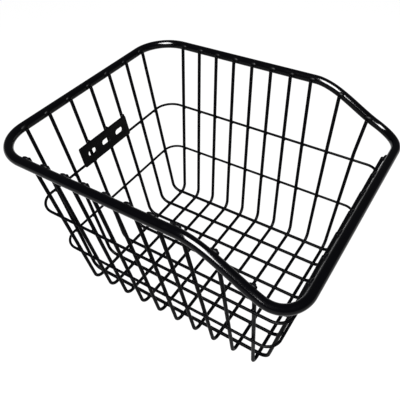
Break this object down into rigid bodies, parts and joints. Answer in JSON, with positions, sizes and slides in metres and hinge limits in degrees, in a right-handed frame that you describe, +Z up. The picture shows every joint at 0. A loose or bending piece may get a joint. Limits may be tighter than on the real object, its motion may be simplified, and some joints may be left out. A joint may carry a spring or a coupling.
{
  "type": "handlebar basket",
  "caption": "Open wire basket for a bicycle's handlebar: welded steel wires, tube rim that dips at the front, slotted mounting plate.",
  "frame": {"origin": "middle of the basket's footprint, on the surface it stands on", "axes": "+Z up, +Y towards the rider's side, where the mounting plate is, +X across the basket"},
  "size_m": [0.292, 0.348, 0.223],
  "materials": {
    "rim_coating": "gloss",
    "wire_coating": "gloss",
    "plate_coating": "gloss"
  },
  "bodies": {
    "root": {"rim": "rim_coating", "upper_ring": "wire_coating", "lower_ring": "wire_coating", "cross_wire_01": "wire_coating", "cross_wire_02": "wire_coating", "cross_wire_03": "wire_coating", "cross_wire_04": "wire_coating", "cross_wire_05": "wire_coating", "cross_wire_06": "wire_coating", "cross_wire_07": "wire_coating", "cross_wire_08": "wire_coating", "cross_wire_09": "wire_coating", "cross_wire_10": "wire_coating", "long_wire_01": "wire_coating", "long_wire_02": "wire_coating", "long_wire_03": "wire_coating", "long_wire_04": "wire_coating", "long_wire_05": "wire_coating", "long_wire_06": "wire_coating", "long_wire_07": "wire_coating", "mounting_plate": "plate_coating"}
  },
  "joints": []
}
